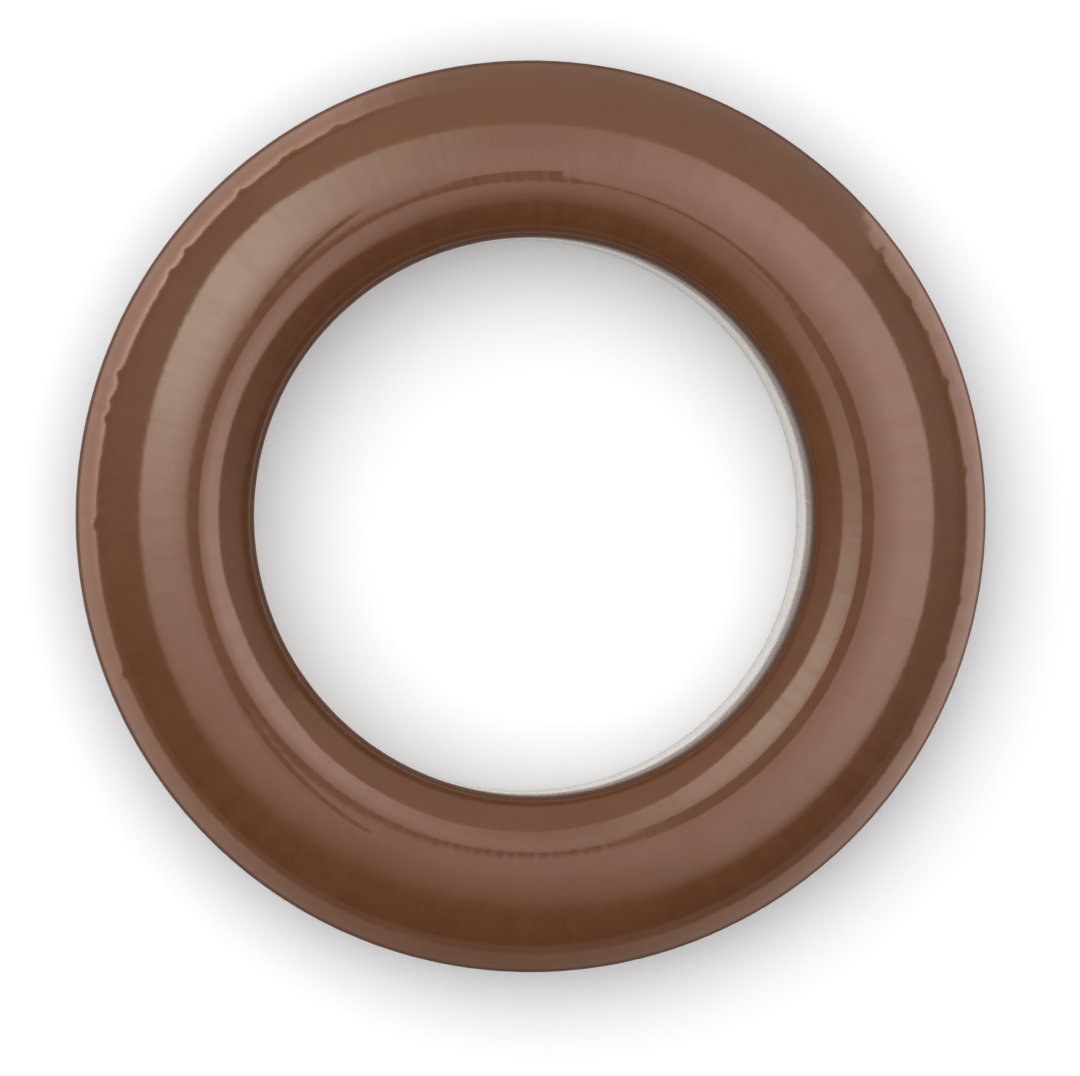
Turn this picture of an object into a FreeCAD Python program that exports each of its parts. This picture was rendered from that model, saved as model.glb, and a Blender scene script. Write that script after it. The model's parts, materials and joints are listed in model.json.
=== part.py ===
"""A drawn sheet-metal eyelet: a domed ring flange that rolls through a throat into a short barrel.

The whole piece is one sheet of constant thickness, so its section is the visible surface and the
same surface offset by the sheet. Lengths are millimetres. The origin is the centre of the barrel's
cut end, and +Z runs along the bore's axis towards the flange.
"""

import FreeCAD, Part
import math
import os

import Sketcher

# Driving dimensions: name, value, what it measures.
SIZES = [
    ("bore_radius", 7.0, "inside radius of the straight barrel, the clear hole"),
    ("sheet_thickness", 0.35, "sheet, the same from the barrel's end to the rim"),
    ("crest_roll", 1.32, "radius of the visible roll from the crest towards the bore"),
    ("crest_roll_turn", 28.0, "degrees, slope at which the roll passes into the throat"),
    ("throat_sweep", 2.31, "radius of the throat's visible, flatter sweep below the roll"),
    ("throat_turn", 50.0, "degrees, slope at which the throat bends into the barrel"),
    ("barrel_bend", 0.1, "inside radius of the tight bend between throat and barrel"),
    ("flange_width", 4.39, "bore wall to the outermost edge of the flange, seen from above"),
    ("rim_slope", 58.0, "degrees, how steeply the dome falls where it meets the rim"),
    ("rim_shoulder", 0.4, "radius that turns the dome down to the upright trimmed edge"),
    ("rim_edge_height", 0.1, "upright trimmed edge between the shoulder and the seat"),
    ("seat_height", 4.0, "barrel's end to the rim's level seat, which presses on the cloth"),
    ("lip_round", 0.06, "rounding of the barrel's cut end, inside and outside"),
    ("rim_break", 0.03, "rounding between the trimmed edge and the seat"),
]

SIZE_SHEET = "sizes"

# Ends of an arc or line in a sketch, by the solver's own numbers.
START = 1
END = 2
CENTRE = 3

# The sketch's own origin and axes, by the solver's own numbers.
ORIGIN = (-1, 1)
HORIZONTAL_AXIS = -1


def size_sheet(doc):
    """Writes the driving dimensions to a sheet, one named cell each."""
    sheet = doc.addObject("Spreadsheet::Sheet", SIZE_SHEET)
    for row, (name, value, meaning) in enumerate(SIZES, start=1):
        sheet.set(f"A{row}", name)
        sheet.set(f"B{row}", str(value))
        sheet.set(f"C{row}", meaning)
        sheet.setAlias(f"B{row}", name)
    doc.recompute()
    return sheet


def origin_plane(body, role):
    """The body's own origin plane that has this role."""
    return next(item for item in body.Origin.OriginFeatures if item.Role == role)


def arc(centre, radius, low_degrees, high_degrees):
    """A circular arc in the sketch, counter-clockwise from the low angle to the high one."""
    circle = Part.Circle(centre, FreeCAD.Vector(0, 0, 1), radius)
    return Part.ArcOfCircle(circle, math.radians(low_degrees), math.radians(high_degrees))


def line(start, end):
    """A straight line in the sketch."""
    return Part.LineSegment(start, end)


def sheet_section(body, sheet):
    """Sketches the sheet's section in the XZ plane: radius across, height up.

    The outline runs up the bore wall, through the bend and the throat, over the crest and the
    dome, round the rim, and back along the hidden side. The places given first are only where the
    solver starts; the constraints and the named sizes settle them.
    """
    point = FreeCAD.Vector

    def inward(turn):
        """Direction in which the visible side faces, this far down from the crest."""
        return point(-math.sin(turn), math.cos(turn))

    slope = math.radians(sheet.rim_slope)
    barrel_bend = sheet.barrel_bend + sheet.sheet_thickness
    roll_turn = math.radians(sheet.crest_roll_turn)
    throat_turn = math.radians(sheet.throat_turn)
    bend_centre_radius = sheet.bore_radius + barrel_bend
    sweep_centre_radius = bend_centre_radius + (sheet.throat_sweep - barrel_bend) * math.sin(
        throat_turn
    )
    crest_radius = sweep_centre_radius + (sheet.crest_roll - sheet.throat_sweep) * math.sin(
        roll_turn
    )
    rim_radius = sheet.bore_radius + sheet.flange_width
    shoulder_centre = point(
        rim_radius - sheet.rim_shoulder, sheet.seat_height + sheet.rim_edge_height
    )
    centre_gap = (shoulder_centre.x - crest_radius) / math.sin(slope)
    dome_centre = point(crest_radius, shoulder_centre.y - centre_gap * math.cos(slope))
    dome_radius = centre_gap + sheet.rim_shoulder
    crest_height = dome_centre.y + dome_radius
    roll_centre = point(crest_radius, crest_height - sheet.crest_roll)
    sweep_centre = roll_centre + inward(roll_turn) * (sheet.crest_roll - sheet.throat_sweep)
    bend_centre = sweep_centre + inward(throat_turn) * (sheet.throat_sweep - barrel_bend)
    hidden_dome = dome_radius - sheet.sheet_thickness
    seat_angle = math.asin((sheet.seat_height - dome_centre.y) / hidden_dome)
    seat_inner = crest_radius + hidden_dome * math.cos(seat_angle)
    barrel_outer = sheet.bore_radius + sheet.sheet_thickness

    sketch = body.newObject("Sketcher::SketchObject", "sheet_section")
    sketch.AttachmentSupport = (origin_plane(body, "XZ_Plane"), [""])
    sketch.MapMode = "FlatFace"

    bore_wall = sketch.addGeometry(
        line(point(sheet.bore_radius, 0), point(sheet.bore_radius, bend_centre.y))
    )
    bend = sketch.addGeometry(arc(bend_centre, barrel_bend, 90 + sheet.throat_turn, 180))
    sweep = sketch.addGeometry(
        arc(sweep_centre, sheet.throat_sweep, 90 + sheet.crest_roll_turn, 90 + sheet.throat_turn)
    )
    roll = sketch.addGeometry(arc(roll_centre, sheet.crest_roll, 90, 90 + sheet.crest_roll_turn))
    dome = sketch.addGeometry(arc(dome_centre, dome_radius, 90 - sheet.rim_slope, 90))
    shoulder = sketch.addGeometry(
        arc(shoulder_centre, sheet.rim_shoulder, 0, 90 - sheet.rim_slope)
    )
    trimmed_edge = sketch.addGeometry(
        line(point(rim_radius, shoulder_centre.y), point(rim_radius, sheet.seat_height))
    )
    seat = sketch.addGeometry(
        line(point(rim_radius, sheet.seat_height), point(seat_inner, sheet.seat_height))
    )
    dome_back = sketch.addGeometry(arc(dome_centre, hidden_dome, math.degrees(seat_angle), 90))
    roll_back = sketch.addGeometry(
        arc(roll_centre, sheet.crest_roll - sheet.sheet_thickness, 90, 90 + sheet.crest_roll_turn)
    )
    sweep_back = sketch.addGeometry(
        arc(
            sweep_centre,
            sheet.throat_sweep - sheet.sheet_thickness,
            90 + sheet.crest_roll_turn,
            90 + sheet.throat_turn,
        )
    )
    bend_back = sketch.addGeometry(arc(bend_centre, sheet.barrel_bend, 90 + sheet.throat_turn, 180))
    barrel_wall = sketch.addGeometry(
        line(point(barrel_outer, bend_centre.y), point(barrel_outer, 0))
    )
    cut_end = sketch.addGeometry(line(point(barrel_outer, 0), point(sheet.bore_radius, 0)))
    rim_ray = sketch.addGeometry(
        line(dome_centre, dome_centre + point(math.sin(slope), math.cos(slope)) * dome_radius),
        True,
    )
    roll_ray = sketch.addGeometry(
        line(roll_centre, roll_centre + inward(roll_turn) * sheet.crest_roll), True
    )
    sweep_ray = sketch.addGeometry(
        line(sweep_centre, sweep_centre + inward(throat_turn) * sheet.throat_sweep), True
    )

    def hold(kind, *where):
        """Adds one constraint without a size."""
        sketch.addConstraint(Sketcher.Constraint(kind, *where))

    def drive(name, formula, kind, *where):
        """Adds one constraint whose size follows the sheet of sizes."""
        index = sketch.addConstraint(Sketcher.Constraint(kind, *where))
        sketch.renameConstraint(index, name)
        sketch.setExpression(f"Constraints.{name}", formula)

    hold("Vertical", bore_wall)
    hold("Tangent", bore_wall, END, bend, END)
    hold("Tangent", bend, START, sweep, END)
    hold("Tangent", sweep, START, roll, END)
    hold("Tangent", roll, START, dome, END)
    hold("Vertical", roll, START, roll, CENTRE)
    hold("Tangent", dome, START, shoulder, END)
    hold("Tangent", shoulder, START, trimmed_edge, START)
    hold("Vertical", trimmed_edge)
    hold("Coincident", trimmed_edge, END, seat, START)
    hold("Horizontal", seat)
    hold("Coincident", seat, END, dome_back, START)
    hold("Coincident", dome_back, CENTRE, dome, CENTRE)
    hold("Tangent", dome_back, END, roll_back, START)
    hold("Coincident", roll_back, CENTRE, roll, CENTRE)
    hold("Tangent", roll_back, END, sweep_back, START)
    hold("Coincident", sweep_back, CENTRE, sweep, CENTRE)
    hold("Tangent", sweep_back, END, bend_back, START)
    hold("Coincident", bend_back, CENTRE, bend, CENTRE)
    hold("Tangent", bend_back, END, barrel_wall, START)
    hold("Vertical", barrel_wall)
    hold("Coincident", barrel_wall, END, cut_end, START)
    hold("Coincident", cut_end, END, bore_wall, START)
    hold("Horizontal", cut_end)
    hold("PointOnObject", bore_wall, START, HORIZONTAL_AXIS)
    hold("Coincident", rim_ray, START, dome, CENTRE)
    hold("Coincident", rim_ray, END, dome, START)
    hold("Coincident", roll_ray, START, roll, CENTRE)
    hold("Coincident", roll_ray, END, roll, END)
    hold("Coincident", sweep_ray, START, sweep, CENTRE)
    hold("Coincident", sweep_ray, END, sweep, END)

    drive("bore_radius", f"{SIZE_SHEET}.bore_radius",
          "DistanceX", *ORIGIN, bore_wall, START, sheet.bore_radius)
    drive("sheet_thickness", f"{SIZE_SHEET}.sheet_thickness",
          "DistanceX", cut_end, END, cut_end, START, sheet.sheet_thickness)
    drive("crest_roll", f"{SIZE_SHEET}.crest_roll",
          "Radius", roll, sheet.crest_roll)
    drive("crest_roll_turn", f"90 deg + {SIZE_SHEET}.crest_roll_turn * 1 deg",
          "Angle", roll_ray, math.radians(90 + sheet.crest_roll_turn))
    drive("throat_sweep", f"{SIZE_SHEET}.throat_sweep",
          "Radius", sweep, sheet.throat_sweep)
    drive("throat_turn", f"90 deg + {SIZE_SHEET}.throat_turn * 1 deg",
          "Angle", sweep_ray, math.radians(90 + sheet.throat_turn))
    drive("barrel_bend", f"{SIZE_SHEET}.barrel_bend",
          "Radius", bend_back, sheet.barrel_bend)
    drive("flange_width", f"{SIZE_SHEET}.flange_width",
          "DistanceX", bore_wall, START, trimmed_edge, END, sheet.flange_width)
    drive("rim_slope", f"90 deg - {SIZE_SHEET}.rim_slope * 1 deg",
          "Angle", rim_ray, math.radians(90 - sheet.rim_slope))
    drive("rim_shoulder", f"{SIZE_SHEET}.rim_shoulder",
          "Radius", shoulder, sheet.rim_shoulder)
    drive("rim_edge_height", f"{SIZE_SHEET}.rim_edge_height",
          "DistanceY", trimmed_edge, END, trimmed_edge, START, sheet.rim_edge_height)
    drive("seat_height", f"{SIZE_SHEET}.seat_height",
          "DistanceY", *ORIGIN, seat, START, sheet.seat_height)
    body.Document.recompute()
    return sketch


def drawn_shell(body, sketch):
    """Turns the section once round the bore's axis."""
    shell = body.newObject("PartDesign::Revolution", "drawn_shell")
    shell.Profile = sketch
    shell.ReferenceAxis = (sketch, ["V_Axis"])
    shell.Angle = 360
    body.Document.recompute()
    return shell


def ring_edges(feature, height, radii):
    """Names of the feature's circular edges at this height that have one of these radii."""
    close = 1e-4
    found = []
    for number, edge in enumerate(feature.Shape.Edges, start=1):
        curve = edge.Curve
        if not isinstance(curve, Part.Circle) or abs(curve.Center.z - height) > close:
            continue
        if any(abs(curve.Radius - radius) < close for radius in radii):
            found.append(f"Edge{number}")
    return found


def rounded(body, base, name, edges):
    """Rounds the named edges of a feature by the size of the same name."""
    fillet = body.newObject("PartDesign::Fillet", name)
    fillet.Base = (base, edges)
    fillet.setExpression("Radius", f"{SIZE_SHEET}.{name}")
    body.Document.recompute()
    return fillet


def eyelet_body(doc, sheet):
    """The eyelet: section, shell, and the two rounded edges left by the trimming."""
    body = doc.addObject("PartDesign::Body", "eyelet")
    body.Label = "eyelet"
    body.Placement = FreeCAD.Placement()
    shell = drawn_shell(body, sheet_section(body, sheet))
    barrel_radii = [sheet.bore_radius, sheet.bore_radius + sheet.sheet_thickness]
    lip = rounded(body, shell, "lip_round", ring_edges(shell, 0.0, barrel_radii))
    rim_radius = sheet.bore_radius + sheet.flange_width
    rounded(body, lip, "rim_break", ring_edges(lip, sheet.seat_height, [rim_radius]))
    return body


def check_document(doc, bodies):
    """Stops if any object failed to compute or any body has no valid single solid."""
    for item in doc.Objects:
        if "Invalid" in item.State or "Error" in item.State:
            raise RuntimeError(f"{item.Name} did not compute: {item.State}")
    for sketch in doc.findObjects("Sketcher::SketchObject"):
        if not sketch.FullyConstrained:
            raise RuntimeError(f"{sketch.Name} is not fully constrained")
    for body in bodies:
        shape = body.Shape
        if shape.isNull() or not shape.isValid() or len(shape.Solids) != 1:
            raise RuntimeError(f"{body.Label} is not one valid solid")


def main():
    """Builds the document, checks it and writes each body to its own file."""
    doc = FreeCAD.newDocument("eyelet_model")
    sheet = size_sheet(doc)
    bodies = [eyelet_body(doc, sheet)]
    doc.recompute()
    check_document(doc, bodies)
    os.makedirs("parts", exist_ok=True)
    for body in bodies:
        body.Shape.exportStep(f"parts/{body.Label}.step")
        box = body.Shape.optimalBoundingBox(False)
        print(
            f"{body.Label}: {box.XLength:.3f} x {box.YLength:.3f} x {box.ZLength:.3f} mm,",
            f"volume {body.Shape.Volume:.2f} mm3",
        )


main()
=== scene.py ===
"""Looks of a drawn, enamelled sheet-metal eyelet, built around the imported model.

Lengths are metres in the model's own frame. The origin is the centre of the barrel's cut end, and
+Z runs up the bore's axis to the domed flange. The eyelet stands on its barrel's end on a white
table, under one soft overhead light, and the camera looks almost straight down on it.
"""

import json
import logging
import math
from collections.abc import Callable, Mapping, Sequence
from dataclasses import dataclass, replace
from enum import Enum

import bpy
import numpy as np
from mathutils import Matrix, Vector


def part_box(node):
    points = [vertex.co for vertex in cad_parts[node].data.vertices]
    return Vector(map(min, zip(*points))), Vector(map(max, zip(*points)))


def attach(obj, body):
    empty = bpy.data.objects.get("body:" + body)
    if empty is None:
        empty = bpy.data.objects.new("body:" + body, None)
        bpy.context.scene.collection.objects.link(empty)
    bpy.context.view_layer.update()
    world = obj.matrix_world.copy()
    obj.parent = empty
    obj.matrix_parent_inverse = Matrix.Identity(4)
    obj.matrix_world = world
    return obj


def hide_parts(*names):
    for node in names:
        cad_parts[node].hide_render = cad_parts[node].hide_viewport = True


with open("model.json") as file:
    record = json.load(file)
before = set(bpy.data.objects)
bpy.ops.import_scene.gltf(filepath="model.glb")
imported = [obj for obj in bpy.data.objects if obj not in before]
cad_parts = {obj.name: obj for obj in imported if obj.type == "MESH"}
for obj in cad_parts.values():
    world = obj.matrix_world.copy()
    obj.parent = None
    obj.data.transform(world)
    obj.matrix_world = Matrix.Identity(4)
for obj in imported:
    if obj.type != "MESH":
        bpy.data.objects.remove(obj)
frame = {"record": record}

log = logging.getLogger("eyelet")

MM = 0.001
MICRON = 0.000001
NODE = "eyelet"
BODY = "root"

PICTURE_WIDTH = 1080.0
PICTURE_HEIGHT = 1076.0

Array = np.ndarray
Pair = tuple[float, float]
Colour = tuple[float, float, float]
Key = int | str


class Ray(Enum):
    """What a shader can ask about the ray that meets it."""

    MIRRORED = "Is Glossy Ray"
    FROM_CAMERA = "Is Camera Ray"
    BOUNCES = "Diffuse Depth"


@dataclass(frozen=True)
class Grain:
    """A noise pattern: its fineness, how many finer layers it adds, and how strong they are."""

    scale: float
    detail: float = 2.0
    roughness: float = 0.5


def maths(operation: str, reflected: bool = False) -> "Callable[[Value, Amount], Value]":
    """Makes an operator of Value.

    Args:
        operation: the Math node's operation.
        reflected: the other number comes first.

    Returns:
        The operator, which adds one node.
    """

    def apply(value: "Value", other: "Amount" = 0.0) -> "Value":
        """Adds the node; an operation on one number ignores the other."""
        pair = (other, value) if reflected else (value, other)
        return value.graph.node("ShaderNodeMath", {"operation": operation}, dict(enumerate(pair)))

    return apply


class Value:
    """An output socket of a node tree, with the arithmetic that shader maths needs."""

    __add__ = maths("ADD")
    __radd__ = maths("ADD", reflected=True)
    __sub__ = maths("SUBTRACT")
    __rsub__ = maths("SUBTRACT", reflected=True)
    __mul__ = maths("MULTIPLY")
    __rmul__ = maths("MULTIPLY", reflected=True)
    __truediv__ = maths("DIVIDE")
    __rtruediv__ = maths("DIVIDE", reflected=True)
    __pow__ = maths("POWER")
    __abs__ = maths("ABSOLUTE")
    arctan2 = maths("ARCTAN2")
    at_least = maths("MAXIMUM")
    at_most = maths("MINIMUM")

    def __init__(self, graph: "Graph", socket: bpy.types.NodeSocket) -> None:
        """Keeps the socket and the graph that new nodes go to."""
        self.graph = graph
        self.socket = socket

    def step(self, low: float, high: float) -> "Value":
        """A smooth rise from 0 at low to 1 at high; low may be above high for a fall."""
        ends = {"Value": self, "From Min": low, "From Max": high}
        return self.graph.node("ShaderNodeMapRange", {"interpolation_type": "SMOOTHSTEP"}, ends)


Amount = Value | float
Tone = Value | Colour


class Graph:
    """A node tree, with the few calls that add nodes and links to it."""

    def __init__(self, tree: bpy.types.NodeTree) -> None:
        """Empties the tree, so that all its nodes come from here."""
        self.tree = tree
        tree.nodes.clear()

    def node(
        self,
        kind: str,
        settings: Mapping[str, str],
        inputs: Mapping[Key, object],
        output: Key = 0,
    ) -> Value:
        """Adds one node.

        Args:
            kind: the node's type.
            settings: its own settings, set before its sockets.
            inputs: a value, or another node's output, for each named or numbered socket.
            output: the name or number of the output that is wanted.

        Returns:
            That output.
        """
        made = self.tree.nodes.new(kind)
        for name, setting in settings.items():
            setattr(made, name, setting)
        for key, given in inputs.items():
            socket = made.inputs[key]
            if isinstance(given, Value):
                self.tree.links.new(given.socket, socket)
            else:
                socket.default_value = (*given, 1.0) if socket.type == "RGBA" else given
        return Value(self, made.outputs[output] if made.outputs else None)

    def mix(self, share: Amount, first: object, second: object) -> Value:
        """A colour between two colours."""
        inputs = {0: share, 6: first, 7: second}
        return self.node("ShaderNodeMix", {"data_type": "RGBA"}, inputs, 2)

    def vector(self, x: Amount, y: Amount, z: Amount) -> Value:
        """Three numbers as one vector."""
        return self.node("ShaderNodeCombineXYZ", {}, {0: x, 1: y, 2: z})

    def parts(self, vector: Value) -> tuple[Value, Value, Value]:
        """A vector's three numbers."""
        made = self.tree.nodes.new("ShaderNodeSeparateXYZ")
        self.tree.links.new(vector.socket, made.inputs[0])
        return tuple(Value(self, socket) for socket in made.outputs)

    def scaled(self, vector: Tone, by: Amount) -> Value:
        """A colour or vector times a number."""
        return self.node("ShaderNodeVectorMath", {"operation": "SCALE"}, {0: vector, 3: by})

    def added(self, first: Tone, second: Tone) -> Value:
        """The sum of two colours or vectors."""
        return self.node("ShaderNodeVectorMath", {"operation": "ADD"}, {0: first, 1: second})

    def noise(self, place: Value, grain: Grain) -> Value:
        """Smooth noise from 0 to 1, about 0.5 on average."""
        layers = {"Scale": grain.scale, "Detail": grain.detail, "Roughness": grain.roughness}
        return self.node("ShaderNodeTexNoise", {}, {"Vector": place, **layers})

    def ray(self, question: Ray) -> Value:
        """What the ray that meets the surface or the world is."""
        return self.node("ShaderNodeLightPath", {}, {}, question.value)

    def bump(self, height: Value, strength: float, distance: float) -> Value:
        """The normal of a surface with this fine relief."""
        relief = {"Strength": strength, "Distance": distance, "Height": height}
        return self.node("ShaderNodeBump", {}, relief)

    def surface(self, colour: Tone, rough: Amount, others: Mapping[Key, object]) -> Value:
        """A general surface of this colour and roughness, with these other inputs."""
        inputs = {"Base Color": colour, "Roughness": rough, **others}
        return self.node("ShaderNodeBsdfPrincipled", {}, inputs)

    def background(self, colour: object) -> Value:
        """Light of this colour from all round."""
        return self.node("ShaderNodeBackground", {}, {"Color": colour})

    def blend(self, share: Value, first: Value, second: Value) -> Value:
        """One surface or light, the other, or some of both."""
        return self.node("ShaderNodeMixShader", {}, {0: share, 1: first, 2: second})

    def finish(self, surface: Value) -> None:
        """Gives the surface to the material."""
        self.node("ShaderNodeOutputMaterial", {}, {"Surface": surface})


class Around:
    """A place on a surface or a direction in the room, split up round the upright axis."""

    def __init__(self, graph: Graph, vector: Value, guard: float = 0.0) -> None:
        """Splits the vector.

        Args:
            graph: where the nodes go.
            vector: the place or direction.
            guard: keeps the plan length above 0 on the axis itself.
        """
        self.graph = graph
        self.vector = vector
        self.x, self.y, self.z = graph.parts(vector)
        self.away = (self.x * self.x + self.y * self.y) ** 0.5 + guard
        self.east = self.x / self.away
        self.north = self.y / self.away
        self.distance = self.away

    @classmethod
    def on_surface(cls, graph: Graph, guard: float = 0.0) -> "Around":
        """The place on the piece that is shaded, in millimetres."""
        place = graph.node("ShaderNodeTexCoord", {}, {}, "Object")
        return cls(graph, graph.scaled(place, 1.0 / MM), guard)

    def fan(self, waves: float, run: float) -> Value:
        """Noise coordinates for streaks that fan out from the axis."""
        return self.graph.vector(self.east * waves, self.north * waves, self.away * run)

    def facing(self, degrees: float) -> Value:
        """How much this lies towards an azimuth, from -1 to 1."""
        turn = math.radians(degrees)
        return self.east * math.cos(turn) + self.north * math.sin(turn)


class Sight(Around):
    """A direction in the room; u and v are where it meets a level ceiling one unit above."""

    AXIS_GUARD = 0.0001
    LOWEST = 0.04

    def __init__(self, graph: Graph) -> None:
        """Takes the direction that the world is asked for.

        Args:
            graph: the world's nodes.
        """
        direction = graph.node("ShaderNodeTexCoord", {}, {}, "Generated")
        super().__init__(graph, direction, self.AXIS_GUARD)
        up = self.z.at_least(self.LOWEST)
        self.u = self.x / up
        self.v = self.y / up
        self.distance = self.away / up

    def from_point(self, u: float, v: float) -> Value:
        """Distance on the ceiling from a point of it."""
        right = self.u - u
        up = self.v - v
        return (right * right + up * up) ** 0.5

    def beyond(self, degrees: float, away: float) -> Value:
        """How far it lies beyond a straight line on the ceiling, given by azimuth and distance."""
        turn = math.radians(degrees)
        return self.u * math.cos(turn) + self.v * math.sin(turn) - away


def new_material(name: str) -> tuple[bpy.types.Material, Graph]:
    """An empty material, and the graph that its nodes go to."""
    made = bpy.data.materials.new(name)
    made.use_nodes = True
    return made, Graph(made.node_tree)


@dataclass(frozen=True)
class Straight:
    """A straight stretch of the section, from one (radius, height) to another."""

    start: Pair
    end: Pair
    steps: int

    @property
    def length(self) -> float:
        """Its length."""
        return math.dist(self.start, self.end)

    def at(self, share: Array) -> Array:
        """Places and outward normals.

        Args:
            share: shares of its length, from 0 to 1.

        Returns:
            One row of four for each.
        """
        start = np.array(self.start)
        along = np.array(self.end) - start
        tangent = along / self.length
        places = start + share[:, None] * along
        normals = np.tile([-tangent[1], tangent[0]], (len(share), 1))
        return np.hstack([places, normals])


@dataclass(frozen=True)
class Bend:
    """A round stretch of the section; a fall in the angle bulges out, a rise is hollow."""

    centre: Pair
    radius: float
    first: float
    last: float
    steps: int

    @property
    def length(self) -> float:
        """Its length."""
        return self.radius * abs(self.last - self.first)

    def at(self, share: Array) -> Array:
        """Places and outward normals.

        Args:
            share: shares of its length, from 0 to 1.

        Returns:
            One row of four for each.
        """
        angle = self.first + share * (self.last - self.first)
        ray = np.stack([np.cos(angle), np.sin(angle)], 1)
        outward = 1.0 if self.last < self.first else -1.0
        return np.hstack([np.array(self.centre) + self.radius * ray, outward * ray])


def moved(place: Pair, distance: float, turn: float) -> Pair:
    """A place in the section, moved the way the throat faces where it has this slope."""
    return (place[0] - distance * math.sin(turn), place[1] + distance * math.cos(turn))


@dataclass(frozen=True)
class SheetSizes:
    """The eyelet's sizes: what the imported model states, and the roundings it was drawn with."""

    bore_radius: float
    barrel_radius: float
    rim_radius: float
    seat_height: float
    crest_height: float
    crest_roll: float = 1.32 * MM
    crest_roll_turn: float = math.radians(28.0)
    throat_turn: float = math.radians(50.0)
    barrel_bend: float = 0.45 * MM
    throat_width: float = 1.41 * MM
    rim_shoulder: float = 0.4 * MM
    rim_edge: float = 0.1 * MM
    rim_break: float = 0.03 * MM
    lip_round: float = 0.06 * MM

    @classmethod
    def from_frame(cls) -> "SheetSizes":
        """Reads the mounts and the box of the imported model.

        Returns:
            The sizes, in metres.
        """
        mounts = {mount["name"]: mount for mount in frame["record"]["mounts"]}
        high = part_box(NODE)[1]
        return cls(
            bore_radius=mounts["bore"]["dims"]["r_mm"] * MM,
            barrel_radius=mounts["barrel"]["dims"]["r_mm"] * MM,
            rim_radius=high.x,
            seat_height=mounts["seat"]["pos_m"][2],
            crest_height=high.z,
        )

    @property
    def sheet(self) -> float:
        """Thickness of the sheet."""
        return self.barrel_radius - self.bore_radius

    @property
    def crest_radius(self) -> float:
        """Radius of the ring where the flange is highest."""
        return self.bore_radius + self.throat_width

    @property
    def throat_sweep(self) -> float:
        """Radius of the throat's flat sweep, between the crest's roll and the barrel's bend."""
        roll = self.crest_roll * math.sin(self.crest_roll_turn)
        bend = self.barrel_bend * (1.0 - math.sin(self.throat_turn))
        left = math.sin(self.throat_turn) - math.sin(self.crest_roll_turn)
        return (self.throat_width - roll - bend) / left

    @property
    def roll_centre(self) -> Pair:
        """Centre of the roll on the bore side of the crest."""
        return (self.crest_radius, self.crest_height - self.crest_roll)

    @property
    def sweep_centre(self) -> Pair:
        """Centre of the throat's flat sweep."""
        return moved(self.roll_centre, self.crest_roll - self.throat_sweep, self.crest_roll_turn)

    @property
    def bend_centre(self) -> Pair:
        """Centre of the tight bend into the barrel."""
        return moved(self.sweep_centre, self.throat_sweep - self.barrel_bend, self.throat_turn)

    @property
    def shoulder_centre(self) -> Pair:
        """Centre of the rounding that turns the dome down to the trimmed edge."""
        return (self.rim_radius - self.rim_shoulder, self.seat_height + self.rim_edge)

    @property
    def rim_slope(self) -> float:
        """How steeply the dome falls where it meets the shoulder, in radians."""
        reach, height = self.shoulder_centre
        drop = self.crest_height - height - self.rim_shoulder
        return 2.0 * math.atan2(drop, reach - self.crest_radius)

    @property
    def dome_radius(self) -> float:
        """Radius of the dome's section."""
        run = self.shoulder_centre[0] - self.crest_radius
        return run / math.sin(self.rim_slope) + self.rim_shoulder


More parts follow.
